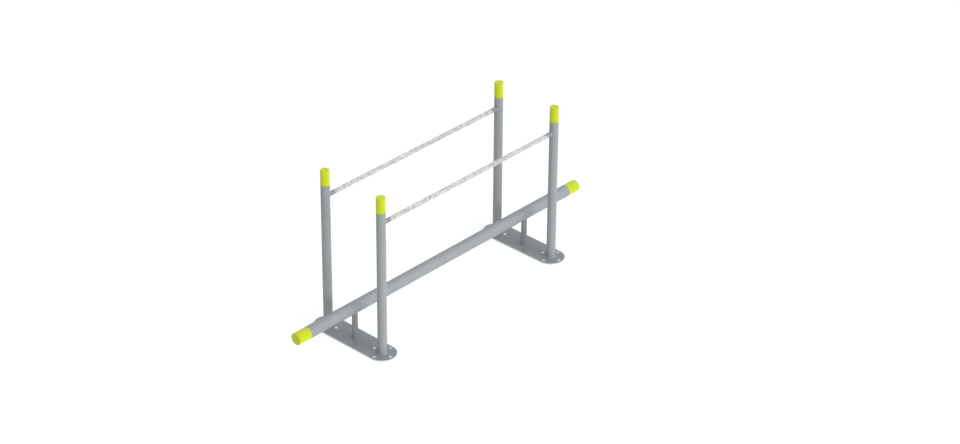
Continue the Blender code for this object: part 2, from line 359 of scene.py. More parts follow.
def joined_mesh(name: str, patches: Sequence[Patch], flat_heights: Sequence[float]) -> bpy.types.Mesh:
    """One closed mesh from patches that share their borders.

    Args:
        name: The mesh's name.
        patches: The patches, already in place.
        flat_heights: Heights at which open borders are filled with one flat face.

    Returns:
        The mesh, with its doubles merged, its faces pointing outwards and its sharp edges marked.
    """
    counts = [patch.points.shape[0] * patch.points.shape[1] for patch in patches]
    starts = np.concatenate(([0], np.cumsum(counts)[:-1]))
    points = np.concatenate([patch.points.reshape(-1, 3) for patch in patches])
    faces = np.concatenate([patch.faces(int(start)) for patch, start in zip(patches, starts)])
    wear = np.concatenate([patch.point_wear() for patch in patches])
    mesh = bpy.data.meshes.new(name)
    mesh.vertices.add(len(points))
    mesh.vertices.foreach_set("co", points.ravel())
    mesh.loops.add(faces.size)
    mesh.loops.foreach_set("vertex_index", faces.ravel())
    mesh.polygons.add(len(faces))
    mesh.polygons.foreach_set("loop_start", np.arange(0, faces.size, 4, dtype=np.int32))
    mesh.update(calc_edges=True)
    edge = mesh.attributes.new(EDGE_ATTRIBUTE, "FLOAT", "POINT")
    edge.data.foreach_set("value", wear.astype(np.float32))
    close_mesh(mesh, flat_heights)
    mesh.shade_smooth()
    mesh.set_sharp_from_angle(angle=SHARP_ANGLE)
    return mesh


def close_mesh(mesh: bpy.types.Mesh, flat_heights: Sequence[float]) -> None:
    """Merges a mesh's doubles, fills its flat faces and points its faces outwards.

    Args:
        mesh: The mesh, changed in place.
        flat_heights: Heights at which open borders are filled.
    """
    bm = bmesh.new()
    bm.from_mesh(mesh)
    bmesh.ops.remove_doubles(bm, verts=bm.verts, dist=MERGE_DISTANCE)
    bmesh.ops.dissolve_degenerate(bm, edges=bm.edges, dist=SLIVER)
    for height in flat_heights:
        border = [
            edge
            for edge in bm.edges
            if edge.is_boundary and all(abs(vert.co.z - height) < LEVEL_TOLERANCE for vert in edge.verts)
        ]
        bmesh.ops.triangle_fill(bm, edges=border, use_beauty=True, normal=(0, 0, 1))
    bmesh.ops.recalc_face_normals(bm, faces=bm.faces)
    bm.to_mesh(mesh)
    bm.free()


def linked(name: str, data: bpy.types.ID) -> bpy.types.Object:
    """Makes an object and puts it in the scene.

    Args:
        name: The object's name.
        data: Its mesh, lamp or camera.

    Returns:
        The object, at the origin.
    """
    made = bpy.data.objects.new(name, data)
    bpy.context.scene.collection.objects.link(made)
    return made


# Shader nodes


def linear(value: float) -> float:
    """A display colour channel, 0 to 255, as scene-linear light, by the sRGB curve."""
    part = value / 255
    return part / 12.92 if part <= 0.04045 else ((part + 0.055) / 1.055) ** 2.4


def shade(rgb: Colour, factor: float = 1.0) -> tuple[float, float, float, float]:
    """A display colour as scene-linear light, made lighter or darker by a factor."""
    red, green, blue = (min(linear(channel) * factor, 1.0) for channel in rgb)
    return red, green, blue, 1.0


@dataclass(frozen=True)
class Mottle:
    """Fractal noise, of which the values from low to high are spread over a whole effect.

    The noise's own values lie at about 0.3 to 0.7. A stretch scales its coordinates along each axis.
    """

    scale: float
    detail: float
    low: float
    high: float
    stretch: Point | None = None


@dataclass(frozen=True)
class Bump:
    """Fractal noise that stands up from a surface by a depth in metres."""

    scale: float
    detail: float
    depth: float


class Nodes:
    """A node tree under construction, with short calls for adding and joining its nodes."""

    def __init__(self, tree: bpy.types.NodeTree) -> None:
        """Takes a tree as it stands."""
        self.tree = tree

    @classmethod
    def emptied(cls, owner: bpy.types.Material | bpy.types.World) -> Nodes:
        """The tree of a material or world, with its own nodes taken out.

        Args:
            owner: The material or world.

        Returns:
            The empty tree.
        """
        owner.use_nodes = True
        owner.node_tree.nodes.clear()
        return cls(owner.node_tree)

    def feed(self, target: Socket, value: object) -> None:
        """Links a socket to an input, or sets the input's own value.

        Args:
            target: The input.
            value: A socket or a plain value.
        """
        if isinstance(value, bpy.types.NodeSocket):
            self.tree.links.new(value, target)
        else:
            target.default_value = value

    def node(
        self, kind: str, *values: object, options: dict[str, object] | None = None, **inputs: object
    ) -> bpy.types.Node:
        """Adds a node.

        Args:
            kind: The node's Blender type, without the ShaderNode that all begin with.
            *values: Values or sockets for its first inputs, in order.
            options: Settings of the node itself.
            **inputs: Values or sockets for inputs by name, with _ for a space.

        Returns:
            The node.
        """
        made = self.tree.nodes.new(f"ShaderNode{kind}")
        for key, value in (options or {}).items():
            setattr(made, key, value)
        for target, value in zip(made.inputs, values):
            self.feed(target, value)
        for key, value in inputs.items():
            self.feed(made.inputs[key.replace("_", " ")], value)
        return made

    def math(self, operation: str, *values: object) -> Socket:
        """A sum, product or other operation on two or three values."""
        return self.node("Math", *values, options={"operation": operation}).outputs["Value"]

    def total(self, base: object, *terms: tuple[object, float]) -> Socket:
        """A weighted sum.

        Args:
            base: The value to start from.
            *terms: A value and its weight, for each value that is added.

        Returns:
            base + value * weight + value * weight and so on.
        """
        for value, weight in terms:
            base = self.math("MULTIPLY_ADD", value, weight, base)
        return base


class Graph(Nodes):
    """A finish's material under construction, with short calls for what the finishes share."""

    def __init__(self, name: str) -> None:
        """Starts a material with one Principled shader.

        Args:
            name: The material's name.
        """
        self.material = bpy.data.materials.new(name)
        self.material.use_nodes = True
        super().__init__(self.material.node_tree)
        self.shader = self.tree.nodes["Principled BSDF"]
        self.place = self.node("TexCoord").outputs["Object"]

    def set(self, **inputs: object) -> None:
        """Feeds the Principled shader's inputs, with _ for a space in a name."""
        for key, value in inputs.items():
            self.feed(self.shader.inputs[key.replace("_", " ")], value)

    def stretched(self, scale: Point, turn: Point = (0.0, 0.0, 0.0)) -> Socket:
        """Object coordinates, scaled along each axis and then turned by degrees."""
        angles = tuple(math.radians(degrees) for degrees in turn)
        return self.node("Mapping", Vector=self.place, Rotation=angles, Scale=scale).outputs["Vector"]

    def noise(self, scale: float, detail: float, vector: Socket | None = None) -> Socket:
        """Fractal noise in object coordinates or on another vector."""
        sizes = {"Scale": scale, "Detail": detail, "Roughness": NOISE_ROUGHNESS}
        return self.node("TexNoise", Vector=vector or self.place, **sizes).outputs[0]

    def crystals(self, scale: float, vector: Socket) -> Socket:
        """One random value, 0 to 1, for each cell of a Voronoi pattern."""
        made = self.node("TexVoronoi", Vector=vector, Scale=scale)
        return self.node("SeparateColor", Color=made.outputs["Color"]).outputs["Red"]

    def seams(self, scale: float, vector: Socket) -> Socket:
        """The distance to the nearest border between Voronoi cells."""
        borders = {"feature": "DISTANCE_TO_EDGE"}
        return self.node("TexVoronoi", options=borders, Vector=vector, Scale=scale).outputs["Distance"]

    def ramp(self, value: Socket, source: Span, target: Span = UNIT) -> Socket:
        """Maps one span of values to another, and clamps them to it.

        Args:
            value: The value.
            source: The values that become the ends of the target.
            target: The ends of the result.

        Returns:
            The mapped value.
        """
        made = self.node("MapRange", value, *source, *target, options={"clamp": True})
        return made.outputs["Result"]

    def mottle(self, kind: Mottle, target: Span = UNIT) -> Socket:
        """A mottled value, from the target's first end to its second."""
        vector = self.stretched(kind.stretch) if kind.stretch else self.place
        return self.ramp(self.noise(kind.scale, kind.detail, vector), (kind.low, kind.high), target)

    def blend(self, factor: object, first: object, second: object) -> Socket:
        """A colour between two colours.

        Args:
            factor: 0 for the first colour, 1 for the second.
            first: The first colour.
            second: The second colour.

        Returns:
            The colour.
        """
        made = self.node("Mix", factor, options={"data_type": "RGBA", "clamp_factor": True})
        for number, value in zip(MIX_COLOUR_INPUTS, (first, second)):
            self.feed(made.inputs[number], value)
        return made.outputs[MIX_COLOUR_OUTPUT]

    def clouded(self, rgb: Colour, contrast: float, tone: Socket) -> Socket:
        """A colour that runs from a shade darker to a shade lighter with the tone."""
        return self.blend(tone, shade(rgb, 1 - contrast), shade(rgb, 1 + contrast))

    # Carries wear, and the painted highlight on a base plate's cut edge
    def worn(self, colour: Socket, rgb: Colour, pattern: Socket) -> Socket:
        """The colour, with another one along edges where the pattern is high: wear, and painted highlight."""
        edge = self.node("Attribute", options={"attribute_name": EDGE_ATTRIBUTE}).outputs["Fac"]
        return self.blend(self.math("MULTIPLY", edge, pattern), colour, shade(rgb))

    def relief(self, height: Socket, depth: float, below: Socket | None = None) -> Socket:
        """A bump from any pattern.

        Args:
            height: The pattern.
            depth: The bump's depth in metres.
            below: A coarser bump that this one lies on.

        Returns:
            The bent normal.
        """
        coarser = {} if below is None else {"Normal": below}
        return self.node("Bump", Height=height, Distance=depth, Strength=1.0, **coarser).outputs["Normal"]

    def bump(self, kind: Bump, below: Socket | None = None) -> Socket:
        """A bump of noise, on top of a coarser one if there is one."""
        return self.relief(self.noise(kind.scale, kind.detail), kind.depth, below)


# Finishes


@dataclass(frozen=True)
class Coat:
    """A finish as it goes on a piece: its material, and its slot name, which the pieces do not use."""

    material: bpy.types.Material
    slot: Slot


@dataclass(frozen=True)
class Finish(ABC):
    """A named finish that belongs to one slot."""

    name: str
    slot: Slot

    @abstractmethod
    def dress(self, graph: Graph) -> None:
        """Feeds the shader of a new material."""

    def coat(self) -> Coat:
        """Makes the finish's material.

        Returns:
            The material with its slot.
        """
        graph = Graph(self.name)
        self.dress(graph)
        return Coat(graph.material, self.slot)


@dataclass(frozen=True)
class PowderCoat(Finish):
    """Satin powder coat on steel: orange peel, faint clouds, low dust, worn edges and painted edge
    highlights.
    """

    slot: Slot = Slot.PAINT
    rgb: Colour = (160, 166, 169)
    contrast: float = 0.035
    cloud: Mottle = Mottle(5.0, 4.0, 0.35, 0.65)
    cloud_share: float = 0.7
    grain: Mottle = Mottle(900.0, 1.0, 0.3, 0.7)
    dust_rgb: Colour = (156, 157, 155)
    dust: Mottle = Mottle(38.0, 5.0, 0.42, 0.66)
    dust_height: float = 0.060
    dust_cover: float = 0.55
    dust_roughness: float = 0.25
    # Pale edge colour and its mottle: worn paint on the posts, a painted highlight on the base plate's cut
    # edge
    worn_rgb: Colour = (186, 189, 190)
    chips_and_edge_highlight: Mottle = Mottle(140.0, 4.0, 0.475, 0.555)
    scuffs: Mottle = Mottle(30.0, 3.0, 0.58, 0.72, stretch=(1.0, 1.0, 0.25))
    scuff_roughness: float = 0.10
    roughness: Span = (0.41, 0.47)
    peel: Bump = Bump(380.0, 2.0, 0.0001)
    pores: Bump = Bump(1500.0, 1.0, 0.00001)
    refraction: float = 1.44

    def dress(self, graph: Graph) -> None:
        """Feeds the coat's shader.

        The colour runs between a darker and a lighter grey with broad clouds and a fine grain. Dust
        fades out with height, and pale spots show where noise is high near an edge: worn paint on most
        pieces, and a painted highlight on a base plate's cut edge.

        Args:
            graph: The new material.
        """
        cloud, grain = graph.mottle(self.cloud), graph.mottle(self.grain)
        tone = graph.total(0.0, (cloud, self.cloud_share), (grain, 1 - self.cloud_share))
        height = graph.node("SeparateXYZ", graph.place).outputs["Z"]
        low = graph.ramp(height, (0.0, self.dust_height), (self.dust_cover, 0.0))
        dust = graph.math("MULTIPLY", low, graph.mottle(self.dust))
        colour = graph.clouded(self.rgb, self.contrast, tone)
        colour = graph.blend(dust, colour, shade(self.dust_rgb))
        scuffs = graph.mottle(self.scuffs)
        rough = graph.ramp(cloud, UNIT, self.roughness)
        graph.set(
            Base_Color=graph.worn(colour, self.worn_rgb, graph.mottle(self.chips_and_edge_highlight)),
            Roughness=graph.total(rough, (scuffs, self.scuff_roughness), (dust, self.dust_roughness)),
            Normal=graph.bump(self.pores, graph.bump(self.peel)),
            IOR=self.refraction,
        )


@dataclass(frozen=True)
class MouldedPlastic(Finish):
    """Satin injection-moulded plastic: a fine spark-eroded grain, faint flow lines and clouds."""

    name: str = "lime_moulded_plastic"
    slot: Slot = Slot.LIME
    rgb: Colour = (213, 229, 22)
    contrast: float = 0.03
    cloud: Mottle = Mottle(14.0, 3.0, 0.35, 0.65)
    cloud_share: float = 0.6
    flow: Mottle = Mottle(60.0, 3.0, 0.35, 0.65, stretch=(1.0, 1.0, 0.12))
    rubbed_rgb: Colour = (214, 230, 60)
    rubs: Mottle = Mottle(90.0, 3.0, 0.45, 0.7)
    rub_cover: float = 0.6
    roughness: Span = (0.42, 0.51)
    scatter: float = 1.0
    sink: Bump = Bump(25.0, 1.0, 0.00015)
    grain: Bump = Bump(1700.0, 2.0, 0.00002)
    refraction: float = 1.49

    def dress(self, graph: Graph) -> None:
        """Feeds the plastic's shader.

        The colour runs between two limes with broad clouds and long flow lines. Corners are a little
        paler where they were rubbed.

        Args:
            graph: The new material.
        """
        cloud, flow = graph.mottle(self.cloud), graph.mottle(self.flow)
        tone = graph.total(0.0, (cloud, self.cloud_share), (flow, 1 - self.cloud_share))
        colour = graph.clouded(self.rgb, self.contrast, tone)
        rubs = graph.mottle(self.rubs, (0.0, self.rub_cover))
        graph.set(
            Base_Color=graph.worn(colour, self.rubbed_rgb, rubs),
            Roughness=graph.ramp(flow, UNIT, self.roughness),
            Diffuse_Roughness=self.scatter,
            Normal=graph.bump(self.grain, graph.bump(self.sink)),
            IOR=self.refraction,
        )


@dataclass(frozen=True)
class HotDipGalvanising(Finish):
    """Zinc from a hot bath: crystals of unlike greys, with fine ones among them.

    The stretch draws the crystals out along X, where the tubes run. The turn that follows it only
    chooses which part of the pattern shows.
    """

    name: str = "spangled_zinc"
    slot: Slot = Slot.GALVANISED
    dark_rgb: Colour = (181, 182, 182)
    light_rgb: Colour = (235, 235, 235)
    stretch: Point = (0.55, 1.0, 1.25)
    turn: Point = (0.0, 38.0, 20.0)
    coarse_scale: float = 94.0
    coarse_share: float = 0.50
    fine_scale: float = 205.0
    fine_share: float = 0.30
    cloud: Mottle = Mottle(220.0, 4.0, 0.3, 0.7)
    cloud_share: float = 0.20
    border_width: float = 0.05
    border_depth: float = 0.12
    tones: Span = (0.24, 0.76)
    roughness: Span = (0.32, 0.54)
    leaf_depth: float = 0.00008
    skin: Bump = Bump(500.0, 3.0, 0.00003)
    metallic: float = 0.55

    def dress(self, graph: Graph) -> None:
        """Feeds the zinc's shader.

        Two Voronoi patterns, one coarse and one fine, add up to each crystal's grey. Borders between
        coarse crystals are darker, fine noise clouds them, and the fine pattern sets the gloss.

        Args:
            graph: The new material.
        """
        spot = graph.stretched(self.stretch, self.turn)
        coarse, fine = graph.crystals(self.coarse_scale, spot), graph.crystals(self.fine_scale, spot)
        border = graph.ramp(graph.seams(self.coarse_scale, spot), (0.0, self.border_width), (1.0, 0.0))
        tone = graph.total(
            0.0,
            (coarse, self.coarse_share),
            (fine, self.fine_share),
            (graph.mottle(self.cloud), self.cloud_share),
            (border, -self.border_depth),
        )
        graph.set(
            Base_Color=graph.blend(graph.ramp(tone, self.tones), shade(self.dark_rgb), shade(self.light_rgb)),
            Roughness=graph.ramp(fine, UNIT, self.roughness),
            Normal=graph.bump(self.skin, graph.relief(coarse, self.leaf_depth)),
            Metallic=self.metallic,
        )


@dataclass(frozen=True)
class ZincPlating(Finish):
    """Bright zinc plating on fasteners: cool and warm tints, dull stains and a fine grain."""

    name: str = "bright_zinc"
    slot: Slot = Slot.ZINC
    cool_rgb: Colour = (229, 240, 248)
    warm_rgb: Colour = (237, 242, 246)
    tint: Mottle = Mottle(170.0, 3.0, 0.4, 0.6)
    stains: Mottle = Mottle(420.0, 4.0, 0.5, 0.75)
    stain_cover: float = 0.25
    stain_tone: float = 0.62
    dulling: Mottle = Mottle(700.0, 2.0, 0.3, 0.7)
    roughness: Span = (0.24, 0.40)
    grain: Bump = Bump(1400.0, 2.0, 0.00001)
    metallic: float = 0.75

    def dress(self, graph: Graph) -> None:
        """Feeds the plating's shader.

        Noise chooses between the two tints, and finer noise dulls and roughens the surface.

        Args:
            graph: The new material.
        """
        colour = graph.blend(graph.mottle(self.tint), shade(self.cool_rgb), shade(self.warm_rgb))
        stains = graph.mottle(self.stains, (0.0, self.stain_cover))
        graph.set(
            Base_Color=graph.blend(stains, colour, shade(self.cool_rgb, self.stain_tone)),
            Roughness=graph.mottle(self.dulling, self.roughness),
            Normal=graph.bump(self.grain),
            Metallic=self.metallic,
        )


@dataclass(frozen=True)
class Finishes:
    """The coats of the apparatus, each made once."""

    paint: Coat
    small_tube_paint: Coat
    plate_paint: Coat
    lime: Coat
    galvanised: Coat
    zinc: Coat

    @classmethod
    def made(cls) -> Finishes:
        """Makes every coat.

        Returns:
            The coats. The small tubes' paint is the posts' grey made a shade darker as painted shade, and the
            base plate coat is darker as painted shade too, with a pale painted highlight over most of its cut
            edge.
        """
        # Painted highlight: this mottle spreads the pale colour over most of the cut edge, standing in for
        # light along it
        painted_edge_highlight = Mottle(140.0, 4.0, 0.35, 0.43)
        # Painted shade: the base plate grey is darker than the posts', for the weaker light on upward faces
        shaded_highlit_plates = PowderCoat(
            "plate_powder_coat", rgb=(147, 157, 161), worn_rgb=(221, 225, 227), chips_and_edge_highlight=painted_edge_highlight
        )
        return cls(
            paint=PowderCoat("post_powder_coat").coat(),
            # Painted shade: the legs, sockets and their welds get the posts' grey made darker, for the shade
            # on them
            small_tube_paint=PowderCoat("small_tube_powder_coat", rgb=(151, 157, 159)).coat(),
            plate_paint=shaded_highlit_plates.coat(),
            lime=MouldedPlastic().coat(),
            galvanised=HotDipGalvanising().coat(),
            zinc=ZincPlating().coat(),
        )


# Pieces


@dataclass(frozen=True)
class Piece:
    """One visible piece: its surface, its coat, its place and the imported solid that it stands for.

    The surface's patches are given before they are put in place. The flat heights are the world's.
    """

    name: str
    patches: Sequence[Patch]
    coat: Coat
    place: Place = Place()
    node: str | None = None
    flat_heights: tuple[float, ...] = ()

    @classmethod
    def of(cls, node: str, form: str, patches: Sequence[Patch], coat: Coat, place: Place) -> Piece:
        """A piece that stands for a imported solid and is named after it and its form."""
        return cls(f"{node}_{form}", patches, coat, place, node)

    def put_in(self) -> bpy.types.Object:
        """Makes the piece, puts it in the scene and ties it to the part.

        Returns:
            The piece's object.
        """
        mesh = joined_mesh(self.name, [patch.moved(self.place) for patch in self.patches], self.flat_heights)
        mesh.materials.append(self.coat.material)
        made = linked(self.name, mesh)
        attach(made, BODY)
        if self.node:
            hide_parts(self.node)
        return made


@dataclass(frozen=True)
class Assembly(ABC):
    """A sub-assembly that yields its pieces."""

    layout: Layout = field(default=Layout(), kw_only=True)

    @abstractmethod
    def pieces(self, finishes: Finishes) -> Iterator[Piece]:
        """The pieces in the order in which they are fitted."""


@dataclass(frozen=True)
class AtPlate(Assembly):
    """A sub-assembly in the middle of one base plate."""

    side: Side

    def spot(self, height: float) -> Point:
        """A point at a height over the plate's middle."""
        return self.side.value * self.layout.plate_spacing / 2, 0.0, height


@dataclass(frozen=True)
class AtPost(Assembly):
    """A sub-assembly on or round one post."""

    side: Side
    row: Row

    @property
    def where(self) -> str:
        """The post's place inside piece names."""
        return f"{self.side.word}_{self.row.word}"

    def spot(self, height: float, inwards: float = 0.0) -> Point:
        """A point at a height, some way from the post's axis towards the other side."""
        x, y = self.layout.post_spot(self.side, self.row)
        return x - self.side.value * inwards, y, height


# Welds and drilled walls


@dataclass(frozen=True)
class WeldBead:
    """A fillet of weld round a branch tube that stands on a main surface, flat or round.

    The main surface's crown is at height 0 and the branch stands up along +Z from it. A round main
    surface has its axis along X.
    """

    branch_radius: float
    main_radius: float = math.inf
    leg: float = 0.0035
    bulge: float = 0.0006
    ripple: float = 0.00025
    ripple_pitch: float = 0.0035
    ripple_lag: float = 2.2
    sunk: float = 0.0006
    segments: int = 240
    rows: int = 9

    def patch(self) -> Patch:
        """The bead's surface.

        The path is where the branch meets the main surface: (r cos a, r sin a, -drop), with drop the
        main surface's fall at that width. Each cross-section runs from a point one leg up the branch to
        a point one leg out on the main surface, bows out by a sine, and its bow swings in and out along
        the path as the ripples of the weld. Two more rows sink its back into the joint.

        Returns:
            A closed ring.
        """
        a = around(self.segments)
        width = self.branch_radius * np.sin(a)
        drop = width**2 / (self.main_radius + np.sqrt(self.main_radius**2 - width**2))
        path = polar(self.branch_radius, -drop, a)
        lean = width / self.main_radius
        main_normal = np.stack((np.zeros_like(a), lean, np.sqrt(1 - lean**2)), axis=-1)
        branch_normal = polar(1.0, 0.0, a)
        overlap = np.sum(branch_normal * main_normal, axis=-1, keepdims=True)
        out = branch_normal - overlap * main_normal
        out /= np.linalg.norm(out, axis=-1, keepdims=True)
        up = np.array((0.0, 0.0, 1.0)) + np.zeros_like(out)
        s = np.linspace(0, 1, self.rows)[:, None, None]
        ripples = round(math.tau * self.branch_radius / self.ripple_pitch)
        wave = np.sin(ripples * a[None, :, None] + self.ripple_lag * np.sin(math.pi * s))
        bow = np.sin(math.pi * s) * (self.bulge + self.ripple * wave)
        face = path + self.leg * ((1 - s) * up + s * out) + bow * (up + out) / math.sqrt(2)
        sink_up = path + self.leg * up - self.sunk * branch_normal
        sink_out = path + self.leg * out - self.sunk * main_normal
        back = path - self.sunk * (branch_normal + main_normal)
        return Patch(np.concatenate((sink_up[None], face, sink_out[None], back[None])), wrap_rows=True)


@dataclass(frozen=True)
class SleeveWall:
    """The round wall of a tube along Z, with screw holes on its -X side.

    Round each hole lies a square window of the wall, with its own finer grid.
    """

    radius: float
    segments: int = 80
    window: int = 8
    hole_radius: float = 0.0033
    half_window: float = 0.006
    window_rows: int = 5
    rows_before_hole: int = 6
    rows_at_end: int = 12

    def bent(self, height: Array, turn: Array) -> Array:
        """Points of the wall from their height and their angle past the -X side."""
        return polar(self.radius, height, math.pi + turn)

    def square(self) -> tuple[Array, Array]:
        """Points round the square from -1 to 1.

        Returns:
            The two coordinates of each point, with window points to a side.
        """
        corners = np.array(((-1, -1), (1, -1), (1, 1), (-1, 1), (-1, -1)), dtype=float)
        count = np.arange(4 * self.window)
        side, part = count // self.window, (count % self.window)[:, None] / self.window
        spots = (1 - part) * corners[side] + part * corners[side + 1]
        return spots[:, 0], spots[:, 1]

    def rim(self, middle: float) -> tuple[Array, Array]:
        """The rim of one hole.

        It is a circle seen along X, so its angle is the arcsine of its width over the radius. Its points
        lie in the directions of the square's.

        Args:
            middle: The hole's height.

        Returns:
            The height of each point, and its angle past the -X side.
        """
        u, v = self.square()
        phase = np.arctan2(v, u)
        width = self.hole_radius * np.sin(phase)
        return middle + self.hole_radius * np.cos(phase), np.arcsin(width / self.radius)

    def window_patch(self, middle: float) -> Patch:
        """The piece of wall round one hole.

        Rows run from the hole's rim to the square window, in straight lines on the unrolled wall.

        Args:
            middle: The hole's height.

        Returns:
            The patch.
        """
        u, v = self.square()
        half_turn = self.window / 2 * math.tau / self.segments
        rim_height, rim_turn = self.rim(middle)
        t = np.linspace(0, 1, self.window_rows)[:, None]
        height = (1 - t) * rim_height + t * (middle + self.half_window * u)
        turn = (1 - t) * rim_turn + t * half_turn * v
        return Patch(self.bent(height, turn))

    def band(self, start: float, end: float, rows: int) -> Patch:
        """A plain stretch of the wall."""
        return Patch(polar(self.radius, np.linspace(start, end, rows)[:, None], around(self.segments)))

    def patches(self, start: float, end: float, holes: Sequence[float]) -> list[Patch]:
        """The whole wall from start to end.

        Args:
            start: The lower height.
            end: The upper height.
            holes: The heights of its screw holes, in order.

        Returns:
            Plain stretches, and a stretch with a window for each hole.
        """
        half = self.window // 2
        columns = np.arange(self.segments // 2 + half, self.segments * 3 // 2 - half + 1)
        turn = columns[None] * math.tau / self.segments - math.pi
        made = []
        low = start
        for middle in holes:
            bottom, top = middle - self.half_window, middle + self.half_window
            heights = np.linspace(bottom, top, self.window + 1)[:, None]
            made.append(self.band(low, bottom, self.rows_before_hole))
            made.append(Patch(self.bent(heights, turn), wrap_columns=False))
            made.append(self.window_patch(middle))
            low = top
        made.append(self.band(low, end, self.rows_at_end))
        return made

    def hole_wall(self, inner: SleeveWall, middle: float) -> Patch:
        """The wall of a hole between this wall and a smaller one."""
        return Patch(np.stack((self.bent(*self.rim(middle)), inner.bent(*inner.rim(middle)))))


# Sub-assemblies


@dataclass(frozen=True)
class BasePlate(AtPlate):
    """A stadium-shaped steel plate with eight countersunk bolt holes."""

    end_radius: float = 0.1175
    top_rounding: float = 0.0016
    bottom_rounding: float = 0.0008
    hole_radius: float = 0.007
    hole_chamfer: float = 0.0005
    hole_segments: int = 56
    seat_rounding: float = 0.0003
    seat_margin: float = 0.001
    end_points: int = 97
    inset: float = 0.004

    def rim(self) -> Patch:
        """The plate's outer wall.

        A profile of (inset, height) is carried round the stadium: the point at angle a of an end is
        (p cos a, end + p sin a) with p the end's radius less the inset, and the straight sides join the
        two half circles. The cut edge is marked worn over its full height, which carries the plate coat's
        pale painted highlight.

        Returns:
            The wall, from the flat bottom to the flat top.
        """
        top, width = self.layout.plate_thickness, self.end_radius
        profile = Profile.rounded(
            (
                (width - self.inset, 0, 0),
                (width, 0, self.bottom_rounding),
                (width, top, self.top_rounding),
                (width - self.inset, top, 0),
            )
        )
        half_turn = np.linspace(0, math.pi, self.end_points)
        points = profile.carried(np.concatenate((half_turn, half_turn + math.pi)))
        points[..., 1] += np.repeat((1.0, -1.0), self.end_points) * self.layout.post_spacing / 2
        # The whole cut edge is marked so that the pale painted highlight of the plate coat covers it
        highlit_cut_edge = profile.points[:, 0] > width - self.bottom_rounding
        return Patch(points, wear=np.maximum(profile.wear, highlit_cut_edge))

    def holes(self) -> Iterator[Patch]:
        """The walls of the bolt holes, in the world.

        Each is a round hole that opens on a cone of 90 degrees into the seat of a flat bolt head, with a
        short upright land at its mouth. Its cone stands one gap from the head's.

        Returns:
            One wall for each hole.
        """
        layout = self.layout
        top, cone_top = layout.plate_thickness, layout.plate_thickness - layout.bolt_head_land
        mouth = layout.bolt_head_radius + layout.gap * math.sqrt(2)
        profile = Profile.rounded(
            (
                (self.hole_radius + self.hole_chamfer, 0, 0),
                (self.hole_radius, self.hole_chamfer, 0),
                (self.hole_radius, cone_top - (mouth - self.hole_radius), 0),
                (mouth, cone_top, 0),
                (mouth, top, self.seat_rounding),
                (mouth + self.seat_margin, top, 0),
            )
        )
        for row in Row:
            for spot in layout.bolt_spots(self.side, row):
                yield profile.lathed(self.hole_segments).moved(Place((*spot, 0)))

    def pieces(self, finishes: Finishes) -> Iterator[Piece]:
        """The plate.

        Args:
            finishes: The coats of the apparatus.

        Returns:
            One piece, flat below and above.
        """
        node = f"base_plate_{self.side.word}"
        patches = [self.rim().moved(Place(self.spot(0))), *self.holes()]
        flat_heights = (0.0, self.layout.plate_thickness)
        # The plate's coat paints shade on its top and a pale highlight on its cut edge
        yield Piece(f"{node}_slab", patches, finishes.plate_paint, node=node, flat_heights=flat_heights)


@dataclass(frozen=True)
class Post(AtPost):
    """An upright tube, welded to its plate all round its foot."""

    rounding: float = 0.0006
    segments: int = 112

    def pieces(self, finishes: Finishes) -> Iterator[Piece]:
        """The tube and the weld at its foot.

        Args:
            finishes: The coats of the apparatus.

        Returns:
            The two pieces.
        """
        outer, inner = self.layout.post_radius, self.layout.post_radius - self.layout.post_wall
        bottom, top = self.layout.plate_thickness + self.layout.gap, self.layout.post_top
        ends = (
            (outer, top, self.rounding),
            (outer, bottom, 0),
            (inner, bottom, 0),
            (inner, top, self.rounding),
        )
        tube = Profile.rounded(ends, closed=True).lathed(self.segments)
        yield Piece.of(f"post_{self.where}", "tube", [tube], finishes.paint, Place(self.spot(0)))
        bead = WeldBead(outer).patch()
        yield Piece(f"post_weld_{self.where}", [bead], finishes.paint, Place(self.spot(bottom)))


@dataclass(frozen=True)
class Cap:
    """A moulded hood as wide as its tube, with a hollow ribbed plug that pushes into the tube."""

    tube_radius: float
    tube_wall: float
    length: float
    gap: float = Layout.gap
    wall: float = 0.005
    corner: float = 0.004
    corner_steps: int = 8
    rim_rounding: float = 0.0007
    plug_length: float = 0.050
    plug_clearance: float = 0.0016
    plug_rounding: float = 0.0008
    ribs: int = 2
    rib_height: float = 0.0013
    rib_width: float = 0.004
    rib_pitch: float = 0.016
    rib_rounding: float = 0.0012
    crown_rounding: float = 0.002
    segments: int = 112

    def patches(self) -> list[Patch]:
        """The cap along Z, with the tube's end at height 0 and its own rim one gap above.

        One profile runs from the middle of its top, down its side, under its rim, along the plug with a
        rounded rib at each pitch, and back up its bore to the axis.

        Returns:
            One closed surface of revolution, in two patches that meet where the plug starts.
        """
        plug = self.tube_radius - self.tube_wall - self.plug_clearance
        bore, crown = plug - self.wall, self.length - self.wall
        outside = (
            (0, self.length, 0),
            (self.tube_radius, self.length, self.corner),
            (self.tube_radius, self.gap, self.rim_rounding),
            (plug, self.gap, 0),
        )
        rib = (
            (plug, self.rib_width / 2, 0),
            (plug + self.rib_height, 0, self.rib_rounding),
            (plug, -self.rib_width / 2, 0),
        )
        ribs = [
            (radius, height - number * self.rib_pitch, rounding)
            for number in range(1, self.ribs + 1)
            for radius, height, rounding in rib
        ]
        inside = (
            (plug, self.gap, 0),
            *ribs,
            (plug, -self.plug_length, self.plug_rounding),
            (bore, -self.plug_length, self.plug_rounding),
            (bore, crown, self.crown_rounding),
            (0, crown, 0),
        )
        profiles = (Profile.rounded(outside, steps=self.corner_steps), Profile.rounded(inside))
        return [profile.lathed(self.segments) for profile in profiles]


@dataclass(frozen=True)
class PostCap(AtPost):
    """The lime hood on one post."""

    length: float = 0.130

    def pieces(self, finishes: Finishes) -> Iterator[Piece]:
        """The cap.

        Args:
            finishes: The coats of the apparatus.

        Returns:
            One piece.
        """
        cap = Cap(self.layout.post_radius, self.layout.post_wall, self.length)
        place = Place(self.spot(self.layout.post_top))
        yield Piece.of(f"post_cap_{self.where}", "hood", cap.patches(), finishes.lime, place)


